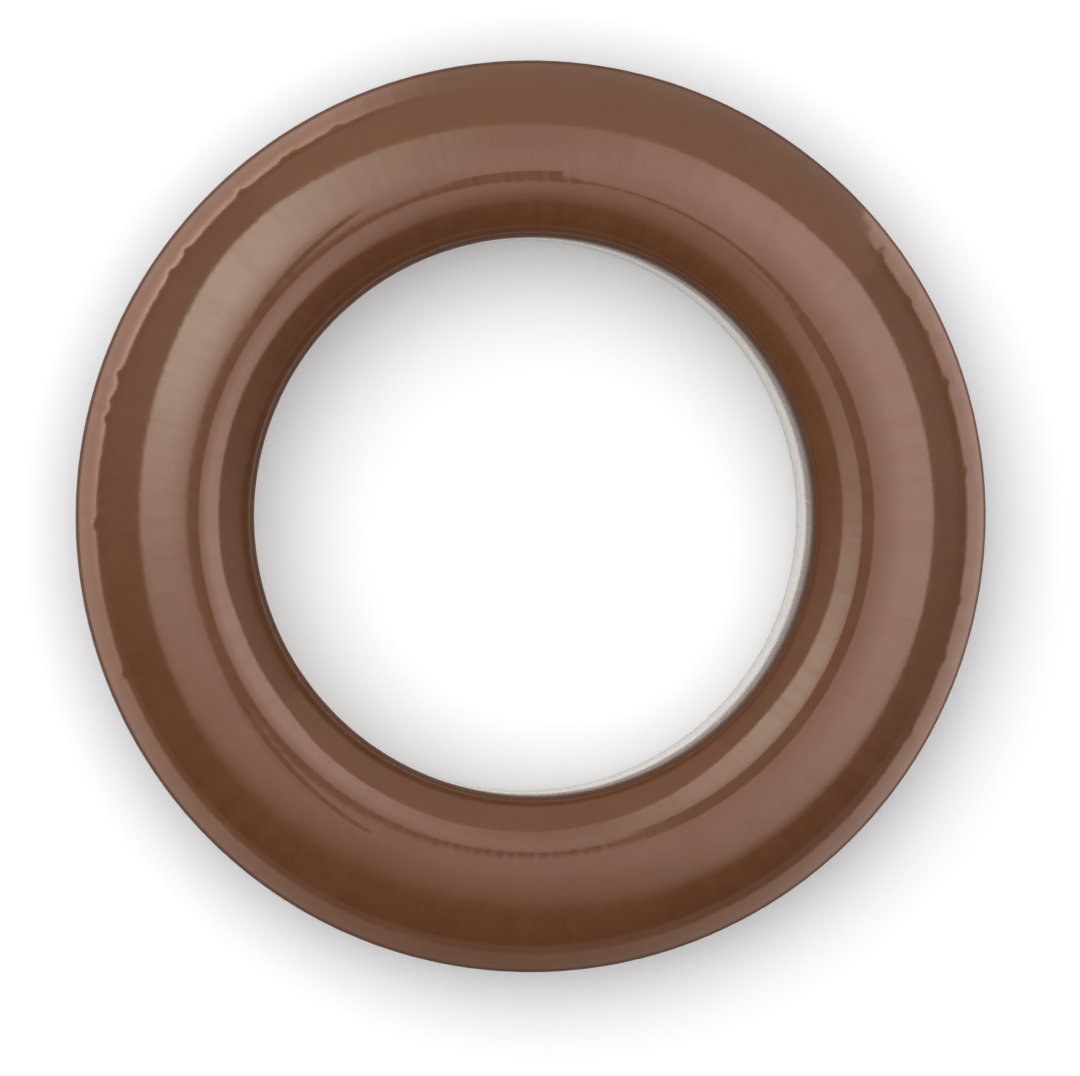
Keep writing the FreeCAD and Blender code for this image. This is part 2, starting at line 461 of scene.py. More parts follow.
class Section:
    """The sheet's closed outline, walked from the barrel's end up the bore and back outside."""

    def __init__(self, sizes: SheetSizes) -> None:
        """Lays the stretches end to end.

        Args:
            sizes: the sizes at this azimuth.
        """
        quarter = math.pi / 2
        bore = sizes.bore_radius
        barrel = sizes.barrel_radius
        rim = sizes.rim_radius
        lip = sizes.lip_round
        seat = sizes.seat_height
        brk = sizes.rim_break
        roll = quarter + sizes.crest_roll_turn
        bend = quarter + sizes.throat_turn
        wall_top = sizes.bend_centre[1]
        dome_centre = (sizes.crest_radius, sizes.crest_height - sizes.dome_radius)
        hidden = sizes.dome_radius - sizes.sheet
        seat_angle = math.asin((seat - dome_centre[1]) / hidden)
        seat_inner = sizes.crest_radius + hidden * math.cos(seat_angle)
        shoulder = quarter - sizes.rim_slope
        self.face = [
            Straight((bore, lip), (bore, wall_top), 16),
            Bend(sizes.bend_centre, sizes.barrel_bend, math.pi, bend, 8),
            Bend(sizes.sweep_centre, sizes.throat_sweep, bend, roll, 12),
            Bend(sizes.roll_centre, sizes.crest_roll, roll, quarter, 12),
            Bend(dome_centre, sizes.dome_radius, quarter, shoulder, 30),
            Bend(sizes.shoulder_centre, sizes.rim_shoulder, shoulder, 0.0, 6),
            Straight((rim, sizes.shoulder_centre[1]), (rim, seat + brk), 1),
            Bend((rim - brk, seat + brk), brk, 0.0, -quarter, 3),
        ]
        self.back = [
            Straight((rim - brk, seat), (seat_inner, seat), 3),
            Bend(dome_centre, hidden, seat_angle, quarter, 16),
            Bend(sizes.roll_centre, sizes.crest_roll - sizes.sheet, quarter, roll, 5),
            Bend(sizes.sweep_centre, sizes.throat_sweep - sizes.sheet, roll, bend, 6),
            Bend(sizes.bend_centre, sizes.barrel_bend - sizes.sheet, bend, math.pi, 4),
            Straight((barrel, wall_top), (barrel, lip), 8),
            Bend((barrel - lip, lip), lip, 0.0, -quarter, 4),
            Straight((barrel - lip, 0.0), (bore + lip, 0.0), 2),
            Bend((bore + lip, lip), lip, -quarter, -math.pi, 4),
        ]

    @property
    def face_length(self) -> float:
        """Length of the visible side, from the barrel's end to the rim's trimmed edge."""
        return sum(stretch.length for stretch in self.face)

    @property
    def crest_length(self) -> float:
        """Distance from the barrel's end up to the crest."""
        return sum(stretch.length for stretch in self.face[:4])

    def face_at(self, run: Array) -> Array:
        """Places and normals on the visible side.

        Args:
            run: distances from the barrel's end.

        Returns:
            One row of four for each.
        """
        ends = np.cumsum([0.0] + [stretch.length for stretch in self.face])
        made = np.zeros((len(run), 4))
        for stretch, low, high in zip(self.face, ends[:-1], ends[1:]):
            here = (run >= low) & (run <= high)
            made[here] = stretch.at((run[here] - low) / (high - low))
        return made

    def outline(self) -> tuple[Array, Array]:
        """The whole closed outline at each stretch's own steps.

        Returns:
            Places and normals, one row of four for each point, and each point's distance along
            the outline.
        """
        rows = []
        runs = []
        begun = 0.0
        for stretch in self.face + self.back:
            share = np.arange(stretch.steps) / stretch.steps
            rows.append(stretch.at(share))
            runs.append(begun + share * stretch.length)
            begun += stretch.length
        return np.vstack(rows), np.concatenate(runs)


def eased(share: Array) -> Array:
    """A smooth rise from 0 to 1, flat beyond both ends."""
    held = np.clip(share, 0.0, 1.0)
    return held * held * (3.0 - 2.0 * held)


@dataclass(frozen=True)
class Mark:
    """A long mark round the axis, from one azimuth and radius to another.

    The ends say over how many degrees it sets in and dies out.
    """

    degrees: Pair
    radii: Pair
    width: float
    ends: Pair

    def course(self, azimuth: Array) -> tuple[Array, Array]:
        """The mark's run round the axis.

        Args:
            azimuth: radians round the axis.

        Returns:
            Its radius there, and how strongly it is pressed, from 0 to 1.
        """
        first, last = self.degrees
        turn = first + (np.degrees(azimuth) - first) % 360.0
        share = np.clip((turn - first) / (last - first), 0.0, 1.0)
        pressed = eased((turn - first) / self.ends[0]) * eased((last - turn) / self.ends[1])
        return self.radii[0] + share * (self.radii[1] - self.radii[0]), pressed


@dataclass(frozen=True)
class Bead(Mark):
    """A shallow rib with a round back; a height below zero makes it a groove."""

    height: float

    def lift(self, azimuth: Array, radius: Array) -> Array:
        """How far it raises the surface."""
        middle, pressed = self.course(azimuth)
        return self.height * pressed * np.exp(-(((radius - middle) / self.width) ** 2))


@dataclass(frozen=True)
class Land(Mark):
    """A narrow flat pressed along the crest by a punch that stands a little out of true.

    The slopes are the punch's lean to the left and towards the bore. Outside the flat the sheet
    keeps its form, shifted by the small step that the flat leaves, and the shift dies out.
    """

    lean_left: float = 0.046
    lean_in: float = 0.0163
    decay: float = 1.5 * MM

    def lift(self, azimuth: Array, radius: Array, sizes: SheetSizes) -> Array:
        """How far it raises the surface.

        Args:
            azimuth: radians round the axis, by column.
            radius: distance from the axis, by row.
            sizes: the eyelet's sizes.

        Returns:
            Metres, by row and column.
        """
        middle, pressed = self.course(azimuth)
        begin = middle - self.width / 2
        held = np.clip(radius, begin, begin + self.width)
        rise = self.lean_left * np.cos(azimuth) + self.lean_in
        step = self.form(begin, sizes) + rise * (held - begin) - self.form(held, sizes)
        fall = 1.0 - eased((radius - begin - self.width) / self.decay)
        return step * pressed * fall

    @staticmethod
    def form(radius: Array, sizes: SheetSizes) -> Array:
        """Height of the true form here, measured from the crest."""
        away = radius - sizes.crest_radius
        bend = np.where(away < 0.0, sizes.crest_roll, sizes.dome_radius)
        return np.sqrt(np.maximum(bend * bend - away * away, 0.0)) - bend


@dataclass(frozen=True)
class PressMarks:
    """What drawing and trimming leave on the visible side: ridges, pimples, beads, a slow wave."""

    seed: int = 14
    ridge_waves: tuple[int, int] = (70, 220)
    ridge_count: int = 48
    ridge_twist: float = 0.6
    ridge_height: float = 0.25 * MICRON
    rim_ridge_height: float = 1.1 * MICRON
    slow_waves: tuple[int, int] = (2, 7)
    slow_wave_height: float = 3.0 * MICRON
    pimple_radius: float = 11.06 * MM
    pimple_width: float = 0.12 * MM
    pimple_height: float = 18.0 * MICRON
    pimple_sizes: Pair = (0.6, 1.2)
    pimple_degrees: tuple[float, ...] = (
        6.0, 18.0, 25.0, 30.0, 37.0, 117.0, 123.5, 125.0, 132.0, 142.5, 146.0, 161.0, 164.5,
        167.0, 181.0, 201.0, 330.0, 341.0, 349.0,
    )
    beads: tuple[Bead, ...] = (
        Bead((42.0, 84.0), (8.38 * MM, 8.42 * MM), 0.14 * MM, (14.0, 1.5), 6.0 * MICRON),
        Bead((103.0, 228.0), (8.43 * MM, 8.42 * MM), 0.14 * MM, (12.0, 10.0), 3.0 * MICRON),
        Bead((112.0, 182.0), (7.70 * MM, 7.72 * MM), 0.15 * MM, (20.0, 20.0), -5.0 * MICRON),
        Bead((186.0, 225.0), (7.70 * MM, 7.70 * MM), 0.15 * MM, (16.0, 5.0), 9.0 * MICRON),
        Bead((219.0, 262.0), (7.72 * MM, 7.75 * MM), 0.15 * MM, (5.0, 18.0), 5.0 * MICRON),
    )
    lands: tuple[Land, ...] = (
        Land((84.5, 108.0), (8.51 * MM, 8.48 * MM), 0.20 * MM, (1.0, 12.0), decay=0.45 * MM),
        Land((115.0, 146.0), (8.82 * MM, 8.56 * MM), 0.11 * MM, (10.0, 6.0)),
        Land((194.0, 247.0), (8.51 * MM, 8.90 * MM), 0.13 * MM, (14.0, 6.0)),
        Land((280.0, 406.0), (8.335 * MM, 8.245 * MM), 0.27 * MM, (16.0, 18.0)),
    )

    def lift(self, azimuth: Array, radius: Array, sizes: SheetSizes) -> Array:
        """How far the surface stands proud of the true form, along its normal.

        Args:
            azimuth: radians round the axis, by column.
            radius: distance from the axis, by row of the section.
            sizes: the eyelet's sizes.

        Returns:
            Metres, by row and column.
        """
        draw = np.random.default_rng(self.seed)
        made = np.zeros(np.broadcast_shapes(radius.shape, azimuth.shape))
        from_crest = radius - sizes.crest_radius
        near_rim = np.clip(from_crest / (sizes.rim_radius - sizes.crest_radius), 0.0, 1.0)
        height = self.ridge_height + near_rim**3 * self.rim_ridge_height
        for _ in range(self.ridge_count):
            waves = draw.integers(*self.ridge_waves)
            phase = draw.uniform(0.0, math.tau)
            twist = draw.uniform(-self.ridge_twist, self.ridge_twist)
            ridge = np.sin(waves * azimuth + phase + twist * from_crest / MM)
            made += ridge * height / math.sqrt(self.ridge_count)
        for waves in range(*self.slow_waves):
            phase = draw.uniform(0.0, math.tau)
            made += np.sin(waves * azimuth + phase) * self.slow_wave_height / waves
        for degrees in self.pimple_degrees:
            size = draw.uniform(*self.pimple_sizes)
            turn = np.angle(np.exp(1j * (azimuth - math.radians(degrees))))
            across = turn * self.pimple_radius / self.pimple_width
            outward = (radius - self.pimple_radius) / self.pimple_width
            made += size * self.pimple_height * np.exp(-(across**2) - outward**2)
        for bead in self.beads:
            made += bead.lift(azimuth, radius)
        for land in self.lands:
            made += land.lift(azimuth, radius, sizes)
        return made


def around(count: int) -> Array:
    """Evenly spaced azimuths, from 0 up to one whole turn."""
    return np.arange(count) * math.tau / count


def turned(radius: Array, height: Array, azimuth: Array) -> Array:
    """Points round the axis: rows follow the section, columns the azimuth."""
    return np.stack(
        [radius * np.cos(azimuth), radius * np.sin(azimuth), height * np.ones_like(azimuth)], -1
    )


def placed(name: str, data: bpy.types.ID) -> bpy.types.Object:
    """A new object in the scene."""
    made = bpy.data.objects.new(name, data)
    bpy.context.scene.collection.objects.link(made)
    return made


def ring_piece(name: str, points: Array, run: Array) -> bpy.types.Object:
    """A closed ring-shaped mesh.

    Args:
        name: the piece's name.
        points: places, by row along the section and by column round the axis.
        run: each row's distance along the closed section.

    Returns:
        The object, smooth, with a map laid out round the axis and along the section.
    """
    rows, columns = points.shape[:2]
    row, column = np.meshgrid(np.arange(rows), np.arange(columns), indexing="ij")
    next_row = (row + 1) % rows
    next_column = (column + 1) % columns
    corners = [(row, column), (row, next_column), (next_row, next_column), (next_row, column)]
    quads = np.stack([r * columns + c for r, c in corners], -1).reshape(-1, 4)

    mesh = bpy.data.meshes.new(name)
    mesh.vertices.add(rows * columns)
    mesh.vertices.foreach_set("co", points.astype(np.float32).ravel())
    mesh.loops.add(quads.size)
    mesh.loops.foreach_set("vertex_index", quads.astype(np.int32).ravel())
    mesh.polygons.add(len(quads))
    mesh.polygons.foreach_set("loop_start", np.arange(0, quads.size, 4, dtype=np.int32))
    mesh.polygons.foreach_set("use_smooth", np.ones(len(quads), dtype=bool))

    closed = run[-1] + (run[1] - run[0])
    along = np.append(run, closed) / closed
    turn = np.arange(columns + 1) / columns
    spans = [(row, column), (row, column + 1), (row + 1, column + 1), (row + 1, column)]
    chart = np.stack([np.stack([turn[c], along[r]], -1) for r, c in spans], 2)
    layer = mesh.uv_layers.new(name="OFBake")
    layer.uv.foreach_set("vector", chart.astype(np.float32).ravel())
    mesh.update(calc_edges=True)
    mesh.validate()
    return placed(name, mesh)


@dataclass(frozen=True)
class Enamel:
    """Glossy brown baked enamel; it dries dull in the barrel's bend and over the trimmed rim.

    Radii are in millimetres. The streaks fan out from the bore; peel and grain are the fine
    unevenness of a sprayed coat.
    """

    colour: Colour = (0.099, 0.0396, 0.0176)
    worn_colour: Colour = (0.111, 0.0462, 0.0220)
    gloss_tint: Colour = (0.965, 0.735, 0.68)
    dull_tint: Colour = (0.78, 0.58, 0.5)
    roughness: float = 0.10
    dull_roughness: float = 0.5
    ior: float = 1.74
    dull_ior: float = 1.2
    haze: float = 0.20
    haze_rise: Pair = (0.4, 0.7)
    throat_haze: Pair = (0.13, 0.12)
    throat_radii: Pair = (8.5, 8.1)
    bend_radii: Pair = (7.11, 7.06)
    rim_radii: Pair = (11.295, 11.365)
    streak_fan: Pair = (26.0, 0.35)
    streak: Grain = Grain(1.0, 3.0, 0.6)
    mottle: Grain = Grain(0.9, 3.0, 0.6)
    peel: Grain = Grain(5.0)
    grain: Grain = Grain(24.0, 2.0, 0.6)
    worn_rise: Pair = (0.35, 0.65)
    streak_roughness: float = 0.03
    grain_roughness: float = 0.04
    peel_height: float = 0.5
    fine_height: float = 0.12
    bump: float = 0.14
    bump_distance: float = 0.02 * MM

    def material(self) -> bpy.types.Material:
        """Builds the finish.

        Returns:
            The material.
        """
        made, graph = new_material("brown_enamel")
        spot = Around.on_surface(graph)
        streak = graph.noise(spot.fan(*self.streak_fan), self.streak)
        mottle = graph.noise(spot.vector, self.mottle)
        peel = graph.noise(spot.vector, self.peel)
        grain = graph.noise(spot.vector, self.grain)
        worn = (streak * 0.5 + mottle * 0.5).step(*self.worn_rise)
        colour = graph.mix(worn, self.colour, self.worn_colour)
        rough = self.roughness + (streak - 0.5) * self.streak_roughness
        rough = rough + (grain - 0.5) * self.grain_roughness
        height = peel * self.peel_height + grain * self.fine_height + streak * self.fine_height
        normal = graph.bump(height, self.bump, self.bump_distance)
        gloss = {"IOR": self.ior, "Specular Tint": self.gloss_tint, "Normal": normal}
        glossy = graph.surface(colour, rough, gloss)
        paint = {"IOR": self.dull_ior, "Specular Tint": self.dull_tint}
        dull = graph.surface(colour, self.dull_roughness, paint)
        hazy = (streak * 0.6 + grain * 0.4).step(*self.haze_rise) * self.haze
        mean, swing = self.throat_haze
        hazy = hazy + spot.away.step(*self.throat_radii) * (spot.east * swing + mean)
        bend = spot.away.step(*self.bend_radii)
        rim = spot.away.step(*self.rim_radii)
        graph.finish(graph.blend(bend.at_least(rim).at_least(hazy), glossy, dull))
        return made


@dataclass(frozen=True)
class BareSheet:
    """Bright bare sheet with fine lines drawn along the barrel, and paint mist high in the bore.

    Rises are in millimetres above the barrel's end.
    """

    colour: Colour = (0.69, 0.66, 0.61)
    stained_colour: Colour = (0.58, 0.55, 0.50)
    # a darker colour along the barrel's end, over its lowest half millimetre
    filmed_colour: Colour = (0.72, 0.62, 0.51)
    end_dark_colour: Colour = (0.50, 0.47, 0.43)
    mist_colour: Colour = (0.097, 0.038, 0.018)
    roughness: float = 0.26
    line_roughness: float = 0.2
    mist_roughness: float = 0.45
    mist_ior: float = 1.35
    stain_rise: Pair = (0.45, 0.75)
    film_rise: Pair = (1.4, 3.0)
    mist_rise: Pair = (2.2, 3.5)
    mist_close: Pair = (3.6, 4.6)
    mist_share: float = 0.84
    end_dark_band: Pair = (0.55, 0.15)
    end_dark_wander: float = 0.5
    stain_wander: float = 0.8
    burr_wander: float = 0.2
    line_fan: Pair = (45.0, 0.5)
    lines: Grain = Grain(1.0, 4.0, 0.65)
    stain: Grain = Grain(1.1, 4.0, 0.6)
    burr: Grain = Grain(3.0, 2.0, 0.6)
    bump: float = 0.15
    bump_distance: float = 0.01 * MM

    def material(self) -> bpy.types.Material:
        """Builds the finish.

        Returns:
            The material.
        """
        made, graph = new_material("bare_sheet")
        spot = Around.on_surface(graph)
        waves, run = self.line_fan
        fan = graph.vector(spot.east * waves, spot.north * waves, spot.z * run + spot.away * run)
        lines = graph.noise(fan, self.lines)
        stain = graph.noise(spot.vector, self.stain)
        burr = graph.noise(spot.vector, self.burr)
        stained = stain.step(*self.stain_rise)
        colour = graph.mix(stained, self.colour, self.stained_colour)
        colour = graph.mix(spot.z.step(*self.film_rise), colour, self.filmed_colour)
        # darker towards the barrel's end: fully below 0.15 mm, fading out by 0.55 mm, its edge
        # wandering with noise
        cut = (spot.z + (burr - 0.5) * self.end_dark_wander).step(*self.end_dark_band)
        colour = graph.mix(cut, colour, self.end_dark_colour)
        rough = self.roughness + (lines - 0.5) * self.line_roughness
        normal = graph.bump(lines, self.bump, self.bump_distance)
        metal = graph.surface(colour, rough, {"Metallic": 1.0, "Normal": normal})
        mist = graph.surface(self.mist_colour, self.mist_roughness, {"IOR": self.mist_ior})
        drift = spot.z + (stain - 0.5) * self.stain_wander + (burr - 0.5) * self.burr_wander
        share = drift.step(*self.mist_rise) * self.mist_share
        share = share + drift.step(*self.mist_close) * (1.0 - self.mist_share)
        graph.finish(graph.blend(share, metal, mist))
        return made


@dataclass(frozen=True)
class Eyelet:
    """The drawn sheet and the enamel sprayed on its visible side.

    The enamel's rows lie closest where the gloss bends most. Its stops are distances from the
    crest (the first three) and from the rim's end (the last), and its rows fill the stretches
    between them. The side that bites into the sheet keeps every seventh row.
    """

    sizes: SheetSizes
    marks: PressMarks = PressMarks()
    sheet_columns: int = 640
    coat_columns: int = 960
    coat_rows: tuple[int, ...] = (10, 12, 40, 15, 13)
    coat_stops: tuple[float, ...] = (-1.85 * MM, -0.36 * MM, 0.66 * MM, -0.72 * MM)
    coat_back: tuple[int, int, int] = (-5, 0, -7)
    coat_thickness: float = 22.0 * MICRON
    coat_bite: float = 8.0 * MICRON
    coat_edge: float = 0.07 * MM
    coat_start: float = 4.56 * MM
    coat_start_wander: float = 0.035 * MM
    coat_start_waves: tuple[int, ...] = (2, 3, 5, 9, 14, 23, 41, 67, 97)
    coat_seed: int = 5
    throat_lean: float = 0.34 * MM

    def section_at(self, azimuth: float) -> Section:
        """The section here: the throat is drawn a little fuller on the right than on the left."""
        roll = self.sizes.crest_roll + self.throat_lean * math.cos(azimuth)
        return Section(replace(self.sizes, crest_roll=roll))

    def drawn_sheet(self) -> bpy.types.Object:
        """The whole sheet, bare, in its true section.

        Returns:
            The piece.
        """
        azimuth = around(self.sheet_columns)
        sections = [self.section_at(turn) for turn in azimuth]
        outlines = [section.outline() for section in sections]
        rows = np.stack([outline for outline, _ in outlines], 1)
        run = np.stack([distance for _, distance in outlines], 1)
        on_face = run <= np.array([section.face_length for section in sections])
        lift = self.marks.lift(azimuth, rows[:, :, 0], self.sizes) * on_face
        return ring_piece("drawn_sheet", self.lifted(rows, lift, azimuth), run.mean(1))

    def enamel_coat(self) -> bpy.types.Object:
        """The enamel, a thin closed skin that thins out to nothing in the throat and at the rim.

        Returns:
            The piece.
        """
        azimuth = around(self.coat_columns)
        start = self.coat_start_at(azimuth)
        sections = [self.section_at(turn) for turn in azimuth]
        end = np.array([section.face_length for section in sections])
        crest = np.array([section.crest_length for section in sections])
        throat, near, past, rim = self.coat_stops
        stops = np.stack([start, crest + throat, crest + near, crest + past, end + rim, end])
        steps = np.cumsum((0, *self.coat_rows))
        rows = np.arange(steps[-1] + 1)
        run = np.stack([np.interp(rows, steps, stops[:, k]) for k in range(len(azimuth))], 1)
        out = self._skin(run, sections, azimuth, self.coat_thickness)
        under = run[slice(*self.coat_back)]
        back = self._skin(under, sections, azimuth, -self.coat_bite)
        points = np.concatenate([out, back])
        share = (np.concatenate([run, 2.0 * end - under]) - start) / (end - start)
        return ring_piece("enamel_coat", points, share.mean(1))

    def coat_start_at(self, azimuth: Array) -> Array:
        """Where the enamel begins in the bore, a slightly uneven line.

        Args:
            azimuth: radians round the axis.

        Returns:
            Distances from the barrel's end.
        """
        draw = np.random.default_rng(self.coat_seed)
        start = np.full(len(azimuth), self.coat_start)
        for waves in self.coat_start_waves:
            phase = draw.uniform(0.0, math.tau)
            start += np.sin(waves * azimuth + phase) * self.coat_start_wander / waves**0.5
        return start

    def _skin(
        self, run: Array, sections: Sequence[Section], azimuth: Array, thick: float
    ) -> Array:
        """One side of the enamel.

        Args:
            run: distances along the visible side from the barrel's end, by row and column.
            sections: the section at each column.
            azimuth: radians round the axis, by column.
            thick: how far this side stands above the sheet, away from the edges.

        Returns:
            Places, by row and column.
        """
        rows = np.stack([section.face_at(run[:, k]) for k, section in enumerate(sections)], 1)
        end = np.array([section.face_length for section in sections])
        edge = np.minimum(run - self.coat_start_at(azimuth), end - run)
        rise = np.sqrt(np.clip(edge / self.coat_edge, 0.0, 1.0))
        lift = self.marks.lift(azimuth, rows[:, :, 0], self.sizes)
        lift = lift - self.coat_bite + rise * (thick + self.coat_bite)
        return self.lifted(rows, lift, azimuth)

    @staticmethod
    def lifted(rows: Array, lift: Array, azimuth: Array) -> Array:
        """Points of the section, moved out along its normals and turned round the axis."""
        places = rows[:, :, :2] + rows[:, :, 2:] * lift[:, :, None]
        return turned(places[:, :, 0], places[:, :, 1], azimuth)

    def build(self) -> list[bpy.types.Object]:
        """Makes and dresses both pieces, in the model's place.

        Returns:
            The sheet and the enamel.
        """
        sheet = self.drawn_sheet()
        sheet.data.materials.append(BareSheet().material())
        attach(sheet, BODY)
        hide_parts(NODE)
        coat = self.enamel_coat()
        coat.data.materials.append(Enamel().material())
        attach(coat, BODY)
        return [sheet, coat]


@dataclass(frozen=True)
class Lobe:
    """A part of the light towards one side, given in degrees round the axis.

    The reach says how far out it sets in, from nothing to full; without one it is full all the way.
    """

    degrees: float
    narrowness: float
    reach: Pair | None = None

    def share(self, where: Around) -> Value:
        """How much of it a place or direction gets.

        Args:
            where: the place or direction.

        Returns:
            From 0 to 1.
        """
        share = where.facing(self.degrees).at_least(0.0) ** self.narrowness
        if self.reach is None:
            return share
        return share * where.distance.step(*self.reach)


@dataclass(frozen=True)
class Table:
    """The white table; reflections see a painted glow of a white sheet that ends near by, and a
    card's brown foot.

    The table's rings are metres; what its reflection shows is laid out in millimetres. The sheet
    ends where the distance times the edge passes 1.
    """

    columns: int = 96
    radii: tuple[float, ...] = (0.02, 0.1, 0.5, 1.1, 1.1, 1.1)
    heights: tuple[float, ...] = (0.0, 0.0, 0.0, 0.0, 0.045, 0.09)
    sink: float = 2.0 * MICRON
    white: Colour = (0.87, 0.87, 0.875)
    sheet: Colour = (1.06, 0.87, 0.76)
    bench: Colour = (0.34, 0.24, 0.18)
    card: Colour = (0.80, 0.70, 0.60)
    near: Pair = (13.0, 18.0)
    edge_mean: float = 0.0107
    edge_swing: float = 0.0078
    edge_degrees: float = 325.0
    edge_blur: float = 0.12
    glow: float = 1.94
    near_lobe: Lobe = Lobe(267.0, 2.2)
    near_loss: float = 1.40
    far_lobe: Lobe = Lobe(145.0, 5.0, (25.0, 100.0))
    far_gain: float = 2.4
    card_degrees: tuple[float, float, float, float] = (33.8, 36.2, 97.0, 117.0)
    card_aside: float = 2.1
    axis_guard: float = 0.001

    def build(self) -> None:
        """Makes the table: a flat disc with a low upright edge, far outside the picture."""
        count = self.columns
        heights = np.array(self.heights) - self.sink
        rings = turned(np.array(self.radii)[:, None], heights[:, None], around(count))
        points = [(0.0, 0.0, -self.sink), *rings.reshape(-1, 3).tolist()]
        sides = [(1 + column, 1 + (column + 1) % count) for column in range(count)]
        faces = [(0, low, after) for low, after in sides]
        for inner in range(0, count * (len(rings) - 1), count):
            outer = inner + count
            faces += [(inner + a, outer + a, outer + b, inner + b) for a, b in sides]
        mesh = bpy.data.meshes.new("table")
        mesh.from_pydata(points, [], faces)
        mesh.materials.append(self.material())
        made = placed("table", mesh)

    def material(self) -> bpy.types.Material:
        """Matt white; reflections of what lies beyond the picture see a painted glow of the sheet,
        bench and card.

        Returns:
            The material.
        """
        made, graph = new_material("white_table")
        made.cycles.emission_sampling = "NONE"
        spot = Around.on_surface(graph, self.axis_guard)
        edge = self.edge_mean + self.edge_swing * spot.facing(self.edge_degrees)
        sheet = (spot.away * edge).step(1.0 + self.edge_blur, 1.0 - self.edge_blur)
        near = self.near_lobe.share(spot) * self.near_loss
        far = self.far_lobe.share(spot) * self.far_gain
        glow = graph.scaled(self.sheet, self.glow - near + far)
        seen = graph.mix(sheet, self.bench, glow)
        azimuth = spot.y.arctan2(spot.x)
        rise, full, fade, gone = (math.radians(degrees) for degrees in self.card_degrees)
        card = (azimuth - self.card_aside / spot.away).step(rise, full)
        card = card * azimuth.step(gone, fade)
        seen = graph.mix(card, seen, self.card)
        # mirrored rays beyond the near ring see emitted glow, a painted reflection; all other rays
        # see the matt white
        beyond = graph.ray(Ray.MIRRORED) * spot.away.step(*self.near)
        matt = graph.node("ShaderNodeBsdfDiffuse", {}, {"Color": self.white})
        light = graph.node("ShaderNodeEmission", {}, {"Color": seen})
        graph.finish(graph.blend(beyond, matt, light))
        return made


@dataclass(frozen=True)
class CameraShade:
    """The camera as the gloss shows it: a round lens, its soft shade, and the thin bent arm."""

    lens_place: float = -0.03
    lens_reach: Pair = (0.103, 0.127)
    shade: float = 0.17
    shade_reach: Pair = (0.34, 0.12)
    shade_side: Pair = (-0.26, -0.20)
    shade_slant: float = 0.5
    arm_place: float = -0.05
    arm_slants: Pair = (0.33, 0.62)
    arm_knee: float = -0.17
    arm_width: Pair = (0.032, 0.008)
    arm_top: Pair = (0.27, 0.22)
    arm_foot: Pair = (-0.34, -0.26)
    arm_depth: float = 0.55

    def kept(self, sight: Sight) -> Value:
        """How much of the panel's light the camera leaves.

        Args:
            sight: the direction.

        Returns:
            From 0 to 1.
        """
        u, v = sight.u, sight.v
        reach = sight.from_point(self.lens_place, 0.0)
        lens = reach.step(*self.lens_reach)
        shade = reach.step(*self.shade_reach)
        shade = shade * (u - v * self.shade_slant).step(*self.shade_side)
        lens = lens * (1.0 - shade * self.shade)
        upper, lower = self.arm_slants
        line = u - self.arm_place + v.at_least(0.0) * upper
        line = line - v.at_most(0.0).at_least(self.arm_knee) * lower
        arm = abs(line).step(*self.arm_width)
        arm = arm * v.step(*self.arm_top) * v.step(*self.arm_foot)
        return lens * (1.0 - arm * self.arm_depth)


